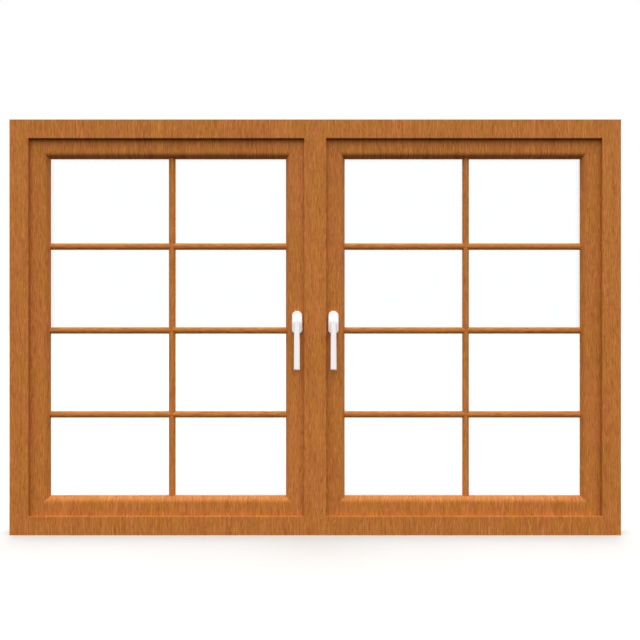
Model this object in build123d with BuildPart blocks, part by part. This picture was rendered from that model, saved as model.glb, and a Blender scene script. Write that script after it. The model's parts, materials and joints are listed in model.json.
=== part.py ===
"""Twin casement window: a rebated timber frame with a fixed mullion and two flush, outward-opening
sashes, each with a sealed unit, mitred glazing beads, glazing bars and a lever handle.

X runs to the right as seen from inside, Y from the inside face to the outside face, Z up.
The origin is in the middle of the frame's underside.
"""

import os
from math import copysign, cos, radians, sin, tan

from build123d import *

# Frame members: a lip on the inside stands in front of the sashes
window_width = 1765
window_height = 1200
frame_depth = 70
frame_face = 54
mullion_face = 64
lip_thickness = 15
lip_cover = 12
sash_gap = 3
arris = 1

# Sashes and glazing beads
sash_face = 36
bead_width = 18
bead_depth = 20.5
bead_splay = 65
bead_land = 1.5
sealant_width = 3
sealant_depth = 3.5
lip_setback = 6.5
lip_land = 3
lip_splay = 8

# Sealed units
pane_thickness = 4
cavity = 6
glass_edge_gap = 3.5
spacer_setback = 2
spacer_height = 5

# Glazing bars: each stands a little to the right of, or below, the even division of its opening
bar_width = 19
bar_height = 10
outer_bar_width = 14
outer_bar_height = 8
bar_land = 2.5
upright_shift = 10.5
cross_shift = 9.4
cross_bar_count = 3

# Lever handles
handle_height = 615
plate_lip_gap = 5.75
plate_width = 29.5
plate_length = 65
plate_corner = 9.5
plate_thickness = 11
plate_edge_bevel = 2
neck_radius = 7.5
neck_engagement = 8
running_clearance = 0.05
bore_end_clearance = 0.3
finger_gap = 27
grip_thickness = 11
grip_tip_thickness = 10
grip_length = 137.5
grip_root_width = 15.5
grip_tip_width = 17.3
grip_tip_round = 2
grip_front_round = 4
grip_back_bevel = 1.5

# Butt hinges, closed, with their knuckles outside
hinge_length = 80
hinge_inset = 150
leaf_depth = 25
knuckle_radius = 5.5
knuckle_clearance = 0.4
pin_radius = 3
pin_head_radius = 4.5
pin_head_height = 2.5

# Holes for the frame fixings in both jambs
fixing_radius = 5.25
fixing_inset = 300

# Faces across the depth of the window
inside = -frame_depth / 2
outside = frame_depth / 2
sash_inside = inside + lip_thickness
glass_inside = sash_inside + bead_depth + bead_land + sealant_depth
glass_outside = glass_inside + 2 * pane_thickness + cavity

# Edges across the members
half_width = window_width / 2
rebate_floor = frame_face - lip_cover - sash_gap
mullion_web = mullion_face - 2 * (lip_cover + sash_gap)
sash_body = lip_cover + sash_face
sash_section = sash_body + bead_width
outer_lip = sash_section - lip_setback
scribe_depth = rebate_floor / 2
sash_bottom = rebate_floor + sash_gap
sash_top = window_height - sash_bottom

left = Vector(-1, 0, 0)
right = Vector(1, 0, 0)
up = Vector(0, 0, 1)
down = Vector(0, 0, -1)
through = Vector(0, 1, 0)


def keep(piece, name):
    """Labels a finished piece and writes it as its own file."""
    piece.label = name
    export_step(piece, f"parts/{name}.step")


def section_plane(x, z, inward):
    """Plane of a member's section: its x is the distance in from the member's edge, its y is Y."""
    return Plane(origin=(x, 0, z), x_dir=inward, z_dir=inward.cross(through))


def member(section, plane, length, neighbours=()):
    """A straight member with one section, its ends scribed to the members that it meets."""
    with BuildPart() as piece:
        with BuildSketch(plane):
            with BuildLine():
                section()
            make_face()
        extrude(amount=length)
        for neighbour in neighbours:
            add(neighbour, mode=Mode.SUBTRACT)
    return piece.part


def frame_section():
    """L-section of the jambs, head and sill, with the lip's inner arris taken off."""
    Polyline(
        (0, inside),
        (frame_face - arris, inside),
        (frame_face, inside + arris),
        (frame_face, sash_inside),
        (rebate_floor, sash_inside),
        (rebate_floor, outside),
        (0, outside),
        close=True,
    )


def mullion_section():
    """T-section of the mullion, drawn about its middle."""
    half_face = mullion_face / 2
    half_web = mullion_web / 2
    Polyline(
        (-half_face, inside + arris),
        (-half_face + arris, inside),
        (half_face - arris, inside),
        (half_face, inside + arris),
        (half_face, sash_inside),
        (half_web, sash_inside),
        (half_web, outside),
        (-half_web, outside),
        (-half_web, sash_inside),
        (-half_face, sash_inside),
        close=True,
    )


def sash_member_section():
    """Sash section: a rebate for the beads and glass, and an outer lip splayed to shed rain."""
    Polyline(
        (0, sash_inside),
        (sash_body, sash_inside),
        (sash_body, glass_outside),
        (outer_lip, glass_outside),
        (outer_lip, glass_outside + lip_land),
        (outer_lip - lip_splay, outside),
        (arris, outside),
        (0, outside - arris),
        close=True,
    )


def bead_section():
    """Bead drawn from its back edge: a round nose, a splay, and an undercut for sealant at the glass."""
    splay = radians(bead_splay)
    nose_radius = (bead_width * tan(splay) - bead_depth) / (1 / cos(splay) - 1)
    nose_end = (nose_radius * sin(splay), sash_inside + nose_radius * (1 - cos(splay)))
    sight_edge = sash_inside + bead_depth
    foot = bead_width - sealant_width
    RadiusArc((0, sash_inside), nose_end, -nose_radius)
    Polyline(
        nose_end,
        (bead_width, sight_edge),
        (bead_width, sight_edge + bead_land),
        (foot, sight_edge + bead_land),
        (foot, glass_inside),
        (0, glass_inside),
        (0, sash_inside),
    )


def bar_section(glass_face, width, rise):
    """Round-nosed bar on one face of the glass, drawn about its middle; it rises toward Y or away."""
    half = width / 2
    land = glass_face + copysign(bar_land, rise)
    Polyline((half, land), (half, glass_face), (-half, glass_face), (-half, land))
    ThreePointArc((-half, land), (0, glass_face + rise), (half, land))


def jamb(name, edge, inward, start):
    """A jamb at full height, bored for two frame fixings through its rebate."""
    fixing_depth = (sash_inside + outside) / 2
    fixing_spacing = window_height - 2 * fixing_inset
    with BuildPart() as piece:
        add(member(frame_section, section_plane(edge, start, inward), window_height))
        with Locations(Plane((edge, fixing_depth, window_height / 2), x_dir=up, z_dir=-inward)):
            with GridLocations(fixing_spacing, 0, 2, 1):
                Hole(fixing_radius, depth=rebate_floor)
    keep(piece.part, name)
    return piece.part


def mitred_bead(name, corner, inward, length):
    """One bead of a glazing rebate, mitred at both ends."""
    plane = section_plane(*corner, inward)
    far_end = plane.origin + plane.z_dir * length
    with BuildPart() as piece:
        add(member(bead_section, plane, length))
        split(bisect_by=Plane(plane.origin, z_dir=plane.z_dir - inward), keep=Keep.TOP)
        split(bisect_by=Plane(far_end, z_dir=plane.z_dir + inward), keep=Keep.BOTTOM)
    keep(piece.part, name)
    return piece.part


def sheet(name, rectangle, face, thickness, ring=0):
    """A flat sheet over a rectangle of the window, or a ring along its edge."""
    x_low, z_low, x_high, z_high = rectangle
    width = x_high - x_low
    height = z_high - z_low
    middle = ((x_low + x_high) / 2, face, (z_low + z_high) / 2)
    with BuildPart() as piece:
        with BuildSketch(Plane(middle, x_dir=right, z_dir=through)):
            Rectangle(width, height)
            if ring:
                Rectangle(width - 2 * ring, height - 2 * ring, mode=Mode.SUBTRACT)
        extrude(amount=thickness)
    keep(piece.part, name)


def inset(rectangle, amount):
    """The rectangle moved in by an amount on all four sides, or out if it is negative."""
    x_low, z_low, x_high, z_high = rectangle
    return (x_low + amount, z_low + amount, x_high - amount, z_high - amount)


def glazing_bars(prefix, opening, profile, surround):
    """An upright bar and cross bars on one face of the glass, scribed to each other and the surround."""
    x_low, z_low, x_high, z_high = inset(opening, -0.9 * bead_width)
    bar_x = (opening[0] + opening[2]) / 2 + upright_shift
    pitch = (opening[3] - opening[1]) / (cross_bar_count + 1)

    with BuildPart() as upright:
        with BuildSketch(section_plane(bar_x, z_low, right)):
            with BuildLine():
                bar_section(*profile)
            make_face()
        extrude(amount=z_high - z_low)
        for neighbour in surround:
            add(neighbour, mode=Mode.SUBTRACT)
    keep(upright.part, f"{prefix}_upright_bar")

    with BuildPart() as cross_bars:
        for row in range(1, cross_bar_count + 1):
            bar_z = opening[1] + row * pitch - cross_shift
            with BuildSketch(section_plane(x_low, bar_z, down)):
                with BuildLine():
                    bar_section(*profile)
                make_face()
            extrude(amount=x_high - x_low)
        for neighbour in [upright.part, *surround]:
            add(neighbour, mode=Mode.SUBTRACT)
    keep(cross_bars.part, f"{prefix}_cross_bars")


def handle(prefix, handle_x):
    """A lever handle, closed: a round-topped plate on the lock stile, and a lever turning in it."""
    seat = Plane((handle_x, sash_inside, handle_height), x_dir=right, z_dir=-through)

    with BuildPart() as plate:
        with BuildSketch(seat) as outline:
            with Locations((0, plate_length / 2 - plate_width / 2)):
                Circle(plate_width / 2)
            with Locations((0, -plate_width / 4)):
                Rectangle(plate_width, plate_length - plate_width / 2)
            fillet(outline.vertices().group_by(Axis.Y)[0], plate_corner)
        extrude(amount=plate_thickness)
        chamfer(plate.faces().sort_by(Axis.Y)[0].edges(), plate_edge_bevel)
        with Locations(seat.offset(plate_thickness)):
            Hole(neck_radius + running_clearance, depth=neck_engagement + bore_end_clearance)
    keep(plate.part, f"{prefix}_handle_plate")

    root = grip_root_width / 2
    tip = grip_tip_width / 2
    back = finger_gap
    front = finger_gap + grip_thickness
    profile_plane = Plane((handle_x, sash_inside, handle_height), x_dir=-through, z_dir=left)
    with BuildPart() as lever:
        with BuildSketch(seat) as grip_outline:
            with BuildLine():
                Polyline((root, 0), (tip, -grip_length), (-tip, -grip_length), (-root, 0))
                ThreePointArc((-root, 0), (0, root), (root, 0))
            make_face()
            fillet(grip_outline.vertices().group_by(Axis.Y)[0], grip_tip_round)
        extrude(amount=front)
        with BuildSketch(profile_plane):
            with BuildLine():
                Polyline(
                    (back, root),
                    (front, root),
                    (back + grip_tip_thickness, -grip_length),
                    (back, -grip_length),
                    close=True,
                )
            make_face()
        extrude(amount=grip_tip_width, both=True, mode=Mode.INTERSECT)
        fillet(lever.faces().sort_by(Axis.Y)[0].edges(), grip_front_round)
        chamfer(lever.faces().sort_by(Axis.Y)[-1].edges(), grip_back_bevel)
        with BuildSketch(seat.offset(plate_thickness - neck_engagement)):
            Circle(neck_radius)
        extrude(amount=finger_gap + grip_back_bevel - plate_thickness + neck_engagement)
    keep(lever.part, f"{prefix}_handle_lever")


def hinges(prefix, gap_x, toward_sash):
    """A pair of closed butt hinges: leaves back to back in the gap, three knuckles on a headed pin."""
    axis_y = outside + knuckle_radius + knuckle_clearance
    leaf_thickness = sash_gap / 2
    knuckle_length = hinge_length / 3 - knuckle_clearance
    knuckle_pitch = hinge_length / 3
    middles = [sash_bottom + hinge_inset, sash_top - hinge_inset]
    frame_knuckles = [z + row * knuckle_pitch for z in middles for row in (-1, 1)]

    def leaves(side, knuckle_middles):
        with BuildPart() as piece:
            for z in middles:
                leaf_middle = (gap_x + side * leaf_thickness / 2, outside - leaf_depth / 2, z)
                with Locations(leaf_middle):
                    Box(leaf_thickness, leaf_depth, hinge_length)
            for z in knuckle_middles:
                neck_middle = (gap_x + side * leaf_thickness / 2, (outside + axis_y) / 2, z)
                with Locations(neck_middle):
                    Box(leaf_thickness, axis_y - outside, knuckle_length)
                with Locations((gap_x, axis_y, z)):
                    Cylinder(knuckle_radius, knuckle_length)
            for z in middles:
                with Locations((gap_x, axis_y, z)):
                    Cylinder(pin_radius + running_clearance, hinge_length, mode=Mode.SUBTRACT)
        return piece.part

    keep(leaves(-toward_sash, frame_knuckles), f"{prefix}_hinge_frame_leaves")
    keep(leaves(toward_sash, middles), f"{prefix}_hinge_sash_leaves")

    with BuildPart() as pins:
        for z in middles:
            with Locations((gap_x, axis_y, z)):
                Cylinder(pin_radius, hinge_length)
            for end in (-1, 1):
                with Locations((gap_x, axis_y, z + end * (hinge_length + pin_head_height) / 2)):
                    Cylinder(pin_head_radius, pin_head_height)
    keep(pins.part, f"{prefix}_hinge_pins")


def sash(prefix, x_low, x_high, side_names):
    """One glazed sash between two upright edges; side_names says what its left and right sides are."""
    edges = (x_low, sash_bottom, x_high, sash_top)
    left_side, right_side = side_names
    width = x_high - x_low
    height = sash_top - sash_bottom
    rail_start = sash_body / 2

    left_stile = member(sash_member_section, section_plane(x_low, sash_bottom, right), height)
    right_stile = member(sash_member_section, section_plane(x_high, sash_top, left), height)
    stiles = [left_stile, right_stile]
    rail_length = width - 2 * rail_start
    top_plane = section_plane(x_low + rail_start, sash_top, down)
    bottom_plane = section_plane(x_high - rail_start, sash_bottom, up)
    top_rail = member(sash_member_section, top_plane, rail_length, stiles)
    bottom_rail = member(sash_member_section, bottom_plane, rail_length, stiles)
    keep(left_stile, f"{prefix}_{left_side}_stile")
    keep(right_stile, f"{prefix}_{right_side}_stile")
    keep(top_rail, f"{prefix}_top_rail")
    keep(bottom_rail, f"{prefix}_bottom_rail")

    rebate = inset(edges, sash_body)
    bead_x_low, bead_z_low, bead_x_high, bead_z_high = rebate
    bead_width_run = bead_x_high - bead_x_low
    bead_height_run = bead_z_high - bead_z_low
    beads = [
        mitred_bead(f"{prefix}_{left_side}_bead", (bead_x_low, bead_z_low), right, bead_height_run),
        mitred_bead(f"{prefix}_top_bead", (bead_x_low, bead_z_high), down, bead_width_run),
        mitred_bead(f"{prefix}_{right_side}_bead", (bead_x_high, bead_z_high), left, bead_height_run),
        mitred_bead(f"{prefix}_bottom_bead", (bead_x_high, bead_z_low), up, bead_width_run),
    ]

    pane = inset(rebate, glass_edge_gap)
    spacer_face = glass_inside + pane_thickness
    sheet(f"{prefix}_inner_pane", pane, glass_inside, pane_thickness)
    sheet(f"{prefix}_spacer", inset(pane, spacer_setback), spacer_face, cavity, spacer_height)
    sheet(f"{prefix}_outer_pane", pane, spacer_face + cavity, pane_thickness)

    opening = inset(edges, sash_section)
    inside_profile = (glass_inside, bar_width, -bar_height)
    outside_profile = (glass_outside, outer_bar_width, outer_bar_height)
    glazing_bars(f"{prefix}_inside", opening, inside_profile, beads)
    glazing_bars(f"{prefix}_outside", opening, outside_profile, [*stiles, top_rail, bottom_rail])


os.makedirs("parts", exist_ok=True)

left_jamb = jamb("left_jamb", -half_width, right, 0)
right_jamb = jamb("right_jamb", half_width, left, window_height)
jambs = [left_jamb, right_jamb]

head_length = window_width - 2 * scribe_depth
head_plane = section_plane(-half_width + scribe_depth, window_height, down)
sill_plane = section_plane(half_width - scribe_depth, 0, up)
head = member(frame_section, head_plane, head_length, jambs)
sill = member(frame_section, sill_plane, head_length, jambs)
mullion_plane = section_plane(0, scribe_depth, right)
mullion = member(mullion_section, mullion_plane, window_height - 2 * scribe_depth, [head, sill])
keep(head, "head")
keep(sill, "sill")
keep(mullion, "mullion")

hinge_edge = half_width - rebate_floor - sash_gap
lock_edge = mullion_web / 2 + sash_gap
handle_x = mullion_face / 2 + plate_lip_gap + plate_width / 2
for prefix, side in (("left", -1), ("right", 1)):
    edges = sorted([side * hinge_edge, side * lock_edge])
    names = ("hinge", "lock") if side < 0 else ("lock", "hinge")
    sash(prefix, *edges, names)
    handle(prefix, side * handle_x)
    hinges(prefix, side * (hinge_edge + sash_gap / 2), -side)
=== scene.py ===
import json
import math

import bmesh
import bpy
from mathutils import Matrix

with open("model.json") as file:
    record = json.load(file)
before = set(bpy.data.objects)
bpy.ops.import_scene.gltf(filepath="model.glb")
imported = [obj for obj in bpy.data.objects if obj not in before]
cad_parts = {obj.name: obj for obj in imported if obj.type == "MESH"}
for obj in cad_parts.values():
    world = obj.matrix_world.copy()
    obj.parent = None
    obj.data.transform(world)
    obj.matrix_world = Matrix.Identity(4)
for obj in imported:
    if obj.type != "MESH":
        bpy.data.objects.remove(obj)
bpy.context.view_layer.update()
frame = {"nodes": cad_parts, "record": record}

nodes = frame["nodes"]

# Camera: it stands level on the inside of the window, at about mid-height and a little to the right of
# the mullion. Its lens takes in the whole frame, with a narrow margin on each side.
camera_data = bpy.data.cameras.new("camera")
camera_data.sensor_width = 36.0
camera_data.lens = 46.78
camera = bpy.data.objects.new("camera", camera_data)
camera.location = (0.0137, -2.435, 0.6213)
camera.rotation_euler = (math.radians(90), 0, 0)
bpy.context.scene.collection.objects.link(camera)
bpy.context.scene.camera = camera


# Timber members: the frame, sashes, glazing beads and glazing bars, moulded from one oak, stained golden
# and lacquered satin. The grain runs upright on every face. On level members it goes on over their
# edges, front to back, and on the slim cross bars it runs lengthwise.
class Wire:
    """A socket in a material's node tree. Sums on wires add the Math nodes that work them out."""

    def __init__(self, tree, socket=None):
        self.tree = tree
        self.socket = socket

    def node(self, kind, inputs, output=0, **settings):
        """A new node of any kind: its settings are made first, then its sockets are set or linked."""
        made = self.tree.nodes.new(kind)
        for name, value in settings.items():
            setattr(made, name, value)
        for key, value in inputs.items():
            if isinstance(value, Wire):
                self.tree.links.new(value.socket, made.inputs[key])
            else:
                made.inputs[key].default_value = value
        return Wire(self.tree, made.outputs[output])

    def maths(self, operation, first, second):
        """A Math node on two wires, or on a wire and a number."""
        return self.node("ShaderNodeMath", {0: first, 1: second}, operation=operation)

    def dot(self, direction):
        """How far this place or ray goes in a direction."""
        return self.node("ShaderNodeVectorMath", {0: self, 1: direction},
                         output="Value", operation="DOT_PRODUCT")

    def __add__(self, other):
        return self.maths("ADD", self, other)

    def __radd__(self, other):
        return self.maths("ADD", other, self)

    def __sub__(self, other):
        return self.maths("SUBTRACT", self, other)

    def __rsub__(self, other):
        return self.maths("SUBTRACT", other, self)

    def __mul__(self, other):
        return self.maths("MULTIPLY", self, other)

    def __rmul__(self, other):
        return self.maths("MULTIPLY", other, self)

    def __pow__(self, other):
        return self.maths("POWER", self, other)


def new_finish(name):
    """A new material, its main shader, and a wire to build its nodes with."""
    finish = bpy.data.materials.new(name)
    finish.use_nodes = True
    shader = finish.node_tree.nodes["Principled BSDF"]
    return finish, shader, Wire(finish.node_tree)


def feed(shader, socket, wire):
    """Links a wire to a socket of the main shader."""
    wire.tree.links.new(wire.socket, shader.inputs[socket])


def lay_of_grain(wire, across, through, along):
    """A point's place in its board: across the grain, through the board, and along the grain."""
    place = wire.node("ShaderNodeTexCoord", {}, output="Object")
    sides = {"X": place.dot(across), "Y": place.dot(through), "Z": place.dot(along)}
    return wire.node("ShaderNodeCombineXYZ", sides)


def grain(wire, lay, across, along, detail, seed):
    """Noise drawn out along the grain, with so many streaks to a metre across it and along it."""
    drawn = wire.node("ShaderNodeMapping", {"Vector": lay, "Scale": (across, across, along),
                                            "Location": (seed, seed, seed)})
    return wire.node("ShaderNodeTexNoise", {"Vector": drawn, "Scale": 1.0, "Detail": detail,
                                            "Roughness": 0.65})


def swing(noise, depth):
    """Noise, which keeps to both sides of 0.5, as a swing to both sides of 0."""
    return (noise - 0.5) * depth


def over(wire, value, low, high):
    """0 where a value is below low, 1 where it is above high, and a smooth step between."""
    return wire.node("ShaderNodeMapRange", {"Value": value, "From Min": low, "From Max": high},
                     interpolation_type="SMOOTHSTEP")


def flecks(wire, lay, seed):
    """1 on short flecks scattered along the grain, and 0 between them."""
    return over(wire, grain(wire, lay, across=330, along=32, detail=1, seed=seed), low=0.60, high=0.67)


def blend(wire, share, first, second):
    """A colour between two others."""
    return wire.node("ShaderNodeMix", {0: share, 6: first, 7: second}, output=2, data_type="RGBA")


def oak_finish(name, across, through, along):
    """Golden oak with its grain laid one way: growth rings, streaks, flecks, fibres and open pores."""
    oak, shader, wire = new_finish(name)
    lay = lay_of_grain(wire, across, through, along)
    bands = grain(wire, lay, across=24, along=1.0, detail=2, seed=3.1)
    tints = grain(wire, lay, across=32, along=9, detail=1, seed=8.2)
    streaks = grain(wire, lay, across=290, along=28, detail=4, seed=7.7)
    light_flecks = flecks(wire, lay, seed=2.6)
    dark_flecks = flecks(wire, lay, seed=9.4)
    fibres = grain(wire, lay, across=2200, along=24, detail=2, seed=1.9)
    pores = over(wire, grain(wire, lay, across=1300, along=45, detail=1, seed=5.3), low=0.57, high=0.64)

    rings_to_metre = 90
    ring_slant = 0.6
    ring_wander = 9
    ring_count = lay.dot((rings_to_metre, ring_slant * rings_to_metre, 0)) + bands * ring_wander
    rings = wire.maths("SINE", ring_count * math.tau, 0.0)

    middle_tone = 0.58
    light_fleck_depth = 0.46
    dark_fleck_depth = 0.34
    ring_depth = 0.05
    pore_depth = 0.4
    tone = (middle_tone + swing(bands, depth=0.45) + swing(streaks, depth=1.35)
            + light_flecks * light_fleck_depth - dark_flecks * dark_fleck_depth
            + rings * ring_depth + swing(fibres, depth=0.6) - pores * pore_depth)
    dark_red = (0.327, 0.0926, 0.0166, 1)
    light_red = (0.616, 0.217, 0.0547, 1)
    dark_gold = (0.314, 0.0979, 0.0137, 1)
    light_gold = (0.600, 0.228, 0.0447, 1)
    red_oak = blend(wire, tone, dark_red, light_red)
    gold_oak = blend(wire, tone, dark_gold, light_gold)
    gold_share = over(wire, tints, low=0.35, high=0.65)
    feed(shader, "Base Color", blend(wire, gold_share, red_oak, gold_oak))

    lacquer_roughness = 0.5
    pore_roughness = 0.15
    fibre_height = 0.3
    relief = wire.node("ShaderNodeBump", {"Height": fibres * fibre_height - pores, "Strength": 0.25,
                                          "Distance": 0.0003})
    feed(shader, "Roughness", lacquer_roughness + swing(fibres, depth=0.2) + pores * pore_roughness)
    feed(shader, "Normal", relief)
    shader.inputs["Specular IOR Level"].default_value = 0.09
    return oak


left_right = (1, 0, 0)
front_back = (0, 1, 0)
up_down = (0, 0, 1)
over_edges = (0, 1, 1)
nowhere = (0, 0, 0)
upright_oak = oak_finish("golden_oak_upright", across=left_right, through=front_back, along=up_down)
wrapped_oak = oak_finish("golden_oak_wrapped", across=left_right, through=nowhere, along=over_edges)
lengthwise_oak = oak_finish("golden_oak_lengthwise", across=up_down, through=front_back, along=left_right)
slot_of = {part["node"]: part["material_slot"] for part in frame["record"]["subparts"]}


def dress(slot, finish):
    """Gives a finish to all pieces of one material slot."""
    for name, node in nodes.items():
        if slot_of[name] == slot:
            node.material_slots[0].material = finish


dress("oak", upright_oak)
level_members = ("head", "sill", "top_rail", "bottom_rail", "top_bead", "bottom_bead")
for name, node in nodes.items():
    if name.endswith(level_members):
        node.material_slots[0].material = wrapped_oak
    if name.endswith("cross_bars"):
        node.material_slots[0].material = lengthwise_oak

# Sealed units: two panes of clear float glass in each sash, sealed to a spacer at their edges and held
# by the beads. Thin flat glass passes nearly all light straight on, and mirrors more of it at a slant.
glass = bpy.data.materials.new("clear_float_glass")
glass.use_nodes = True
glass_wire = Wire(glass.node_tree)
glass_tint = (0.998, 1.0, 0.999, 1)
mirrored_head_on = 0.04
slant = glass_wire.node("ShaderNodeLayerWeight", {"Blend": 0.5}, output="Facing")
mirror_share = mirrored_head_on + slant ** 5 * (1 - mirrored_head_on)
see_through = glass_wire.node("ShaderNodeBsdfTransparent", {"Color": glass_tint})
mirror = glass_wire.node("ShaderNodeBsdfGlossy", {"Color": (1, 1, 1, 1), "Roughness": 0.02})
pane_shader = glass_wire.node("ShaderNodeMixShader", {0: mirror_share, 1: see_through, 2: mirror})
glass_output = glass.node_tree.nodes["Material Output"]
glass.node_tree.links.new(pane_shader.socket, glass_output.inputs["Surface"])
dress("glass", glass)

# Spacers: a channel of thin aluminium between the panes of each sealed unit, roll-formed and left dull
# from the mill, with faint lines from the rollers.
spacer_finish, spacer_shader, spacer_wire = new_finish("mill_aluminium")
spacer_lay = lay_of_grain(spacer_wire, across=left_right, through=front_back, along=up_down)
rolling = grain(spacer_wire, spacer_lay, across=900, along=30, detail=2, seed=4.4)
dull_aluminium = (0.66, 0.66, 0.67, 1)
bright_aluminium = (0.74, 0.74, 0.75, 1)
spacer_roughness = 0.35
feed(spacer_shader, "Base Color", blend(spacer_wire, rolling, dull_aluminium, bright_aluminium))
feed(spacer_shader, "Roughness", spacer_roughness + swing(rolling, depth=0.2))
spacer_shader.inputs["Metallic"].default_value = 1.0
dress("spacer", spacer_finish)

# Lever handles: a cast plate fixed to each lock stile, and a cast lever that turns in it. Both are
# powder-coated white, and the baked coat has a faint orange-peel surface.
coat, coat_shader, coat_wire = new_finish("white_powder_coat")
coat_place = coat_wire.node("ShaderNodeTexCoord", {}, output="Object")
peel = coat_wire.node("ShaderNodeTexNoise", {"Vector": coat_place, "Scale": 1600.0, "Detail": 2.0})
peel_relief = coat_wire.node("ShaderNodeBump", {"Height": peel, "Strength": 0.05, "Distance": 0.0002})
shaded_white = (0.94, 0.93, 0.915, 1)
bright_white = (0.97, 0.96, 0.945, 1)
coat_roughness = 0.32
feed(coat_shader, "Base Color", blend(coat_wire, peel, shaded_white, bright_white))
feed(coat_shader, "Roughness", coat_roughness + swing(peel, depth=0.1))
feed(coat_shader, "Normal", peel_relief)
dress("white_coat", coat)

# Hinges: two butt hinges on the outside of each sash, their pressed steel leaves rolled round a headed
# pin. They are zinc-plated, with a fine satin brushing.
zinc, zinc_shader, zinc_wire = new_finish("satin_zinc_plate")
zinc_lay = lay_of_grain(zinc_wire, across=left_right, through=front_back, along=up_down)
brushing = grain(zinc_wire, zinc_lay, across=2500, along=120, detail=2, seed=6.2)
dark_zinc = (0.40, 0.40, 0.41, 1)
light_zinc = (0.52, 0.52, 0.53, 1)
zinc_roughness = 0.34
feed(zinc_shader, "Base Color", blend(zinc_wire, brushing, dark_zinc, light_zinc))
feed(zinc_shader, "Roughness", zinc_roughness + swing(brushing, depth=0.25))
zinc_shader.inputs["Metallic"].default_value = 1.0
dress("hinge_steel", zinc)

# Floor and light: a pale floor under the window, and a white studio with wide soft boxes in front, on
# both sides, behind and on top. The camera sees plain white, and the floor keeps the window's shadow.
floor_mesh = bmesh.new()
bmesh.ops.create_grid(floor_mesh, x_segments=1, y_segments=1, size=40.0)
floor_data = bpy.data.meshes.new("floor")
floor_mesh.to_mesh(floor_data)
floor_mesh.free()
floor = bpy.data.objects.new("floor", floor_data)
bpy.context.scene.collection.objects.link(floor)
floor_finish, floor_shader, floor_wire = new_finish("pale_floor")


def seen(wire):
    """1 on a ray from the camera, also by way of glass or polish, and 0 on one that only lights."""
    camera_ray = wire.node("ShaderNodeLightPath", {}, output="Is Camera Ray")
    glossy_ray = wire.node("ShaderNodeLightPath", {}, output="Is Glossy Ray")
    transmitted_ray = wire.node("ShaderNodeLightPath", {}, output="Is Transmission Ray")
    dull_bounces = wire.node("ShaderNodeLightPath", {}, output="Diffuse Depth")
    shown = wire.maths("MAXIMUM", wire.maths("MAXIMUM", camera_ray, glossy_ray), transmitted_ray)
    return shown * wire.maths("LESS_THAN", dull_bounces, 0.5)


floor_seen = (0.566, 0.563, 0.555, 1)
floor_bounce = (0.02, 0.02, 0.02, 1)
feed(floor_shader, "Base Color", blend(floor_wire, seen(floor_wire), floor_bounce, floor_seen))
floor_shader.inputs["Roughness"].default_value = 1.0
floor_shader.inputs["Specular IOR Level"].default_value = 0.0
floor_data.materials.append(floor_finish)

world = bpy.data.worlds.new("studio")
world.use_nodes = True
bpy.context.scene.world = world
studio_wire = Wire(world.node_tree)


def soft_box(wire, turn, height, strength, focus):
    """Light from a wide soft box: its turn in degrees, from 0 in front over 90 on the right to 180
    behind, its height in degrees above the floor, its strength in the middle, and how narrow it is."""
    box_turn = math.radians(turn)
    box_height = math.radians(height)
    box_reach = math.cos(box_height)
    box_place = (box_reach * math.sin(box_turn), -box_reach * math.cos(box_turn), math.sin(box_height))
    ray = wire.node("ShaderNodeTexCoord", {}, output="Generated")
    return wire.maths("MAXIMUM", ray.dot(box_place), 0.0) ** focus * strength


front_box = soft_box(studio_wire, turn=0, height=27, strength=2.18, focus=5)
right_box = soft_box(studio_wire, turn=90, height=20, strength=0.87, focus=2)
back_box = soft_box(studio_wire, turn=180, height=25, strength=2.0, focus=8)
left_box = soft_box(studio_wire, turn=270, height=20, strength=0.87, focus=2)
top_box = soft_box(studio_wire, turn=0, height=90, strength=3.1, focus=3)
soft_light = front_box + right_box + back_box + left_box + top_box
studio_seen = seen(studio_wire)
studio_strength = soft_light * (1 - studio_seen) + studio_seen
background = world.node_tree.nodes["Background"]
background.inputs["Color"].default_value = (1, 1, 1, 1)
world.node_tree.links.new(studio_strength.socket, background.inputs["Strength"])

bpy.context.scene.view_settings.view_transform = "Standard"
